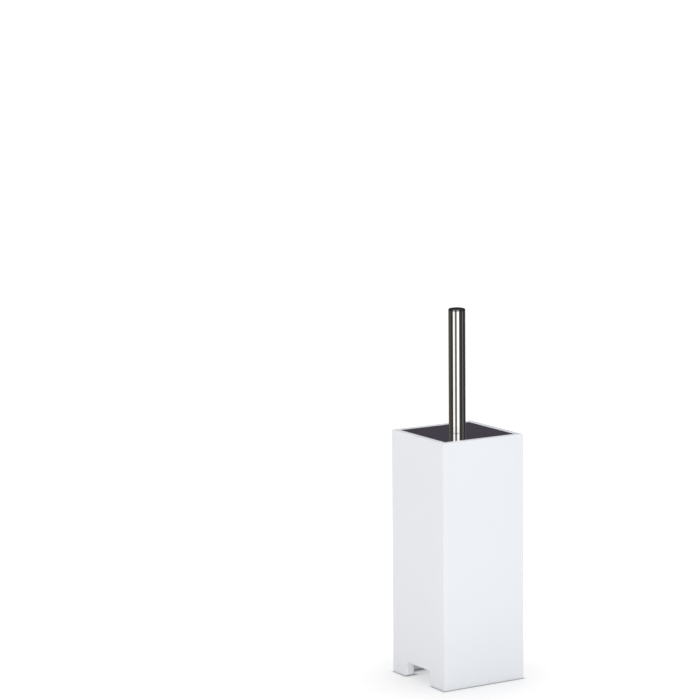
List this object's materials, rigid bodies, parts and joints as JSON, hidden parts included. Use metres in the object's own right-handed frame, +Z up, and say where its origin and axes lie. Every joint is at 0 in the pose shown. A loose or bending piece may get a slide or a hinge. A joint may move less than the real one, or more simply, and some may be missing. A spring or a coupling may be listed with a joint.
{
  "type": "toilet brush holder",
  "caption": "Square white lacquered box, notched at the foot to saddle a crossbar, with a lift-out drip liner and a steel-handled toilet brush whose lid closes the box.",
  "frame": {"origin": "on the floor, under the middle of the box", "axes": "+Z up along the brush; -Y is the plain front panel; the crossbar notches are in the -X and +X side panels"},
  "size_m": [0.115, 0.115, 0.452],
  "materials": {
    "white_lacquer": "satin",
    "grey_plastic": "matte",
    "polished_steel": "polished",
    "lid_steel": "polished",
    "plated_steel": "satin",
    "black_plastic": "satin",
    "white_plastic": "satin",
    "bristle_fibre": "matte"
  },
  "bodies": {
    "holder": {"front_panel": "white_lacquer", "back_panel": "white_lacquer", "left_panel": "white_lacquer", "right_panel": "white_lacquer", "bottom_board": "white_lacquer"},
    "liner": {"drip_liner": "grey_plastic"},
    "brush": {"handle_tube": "polished_steel", "handle_cap": "polished_steel", "handle_insert": "black_plastic", "clamp_stud": "plated_steel", "lid_plate": "lid_steel", "lid_backing": "black_plastic", "lid_washer": "plated_steel", "lock_nut": "plated_steel", "brush_rod": "polished_steel", "rod_top_insert": "plated_steel", "rod_end_insert": "plated_steel", "head_core": "white_plastic", "bristles": "bristle_fibre"}
  },
  "joints": [
    {"name": "liner_lift", "type": "slide", "parent": "holder", "child": "liner", "axis": [0, 0, 1], "range_m": [0, 0.285]},
    {"name": "brush_lift", "type": "slide", "parent": "liner", "child": "brush", "axis": [0, 0, 1], "range_m": [0, 0.275]}
  ]
}
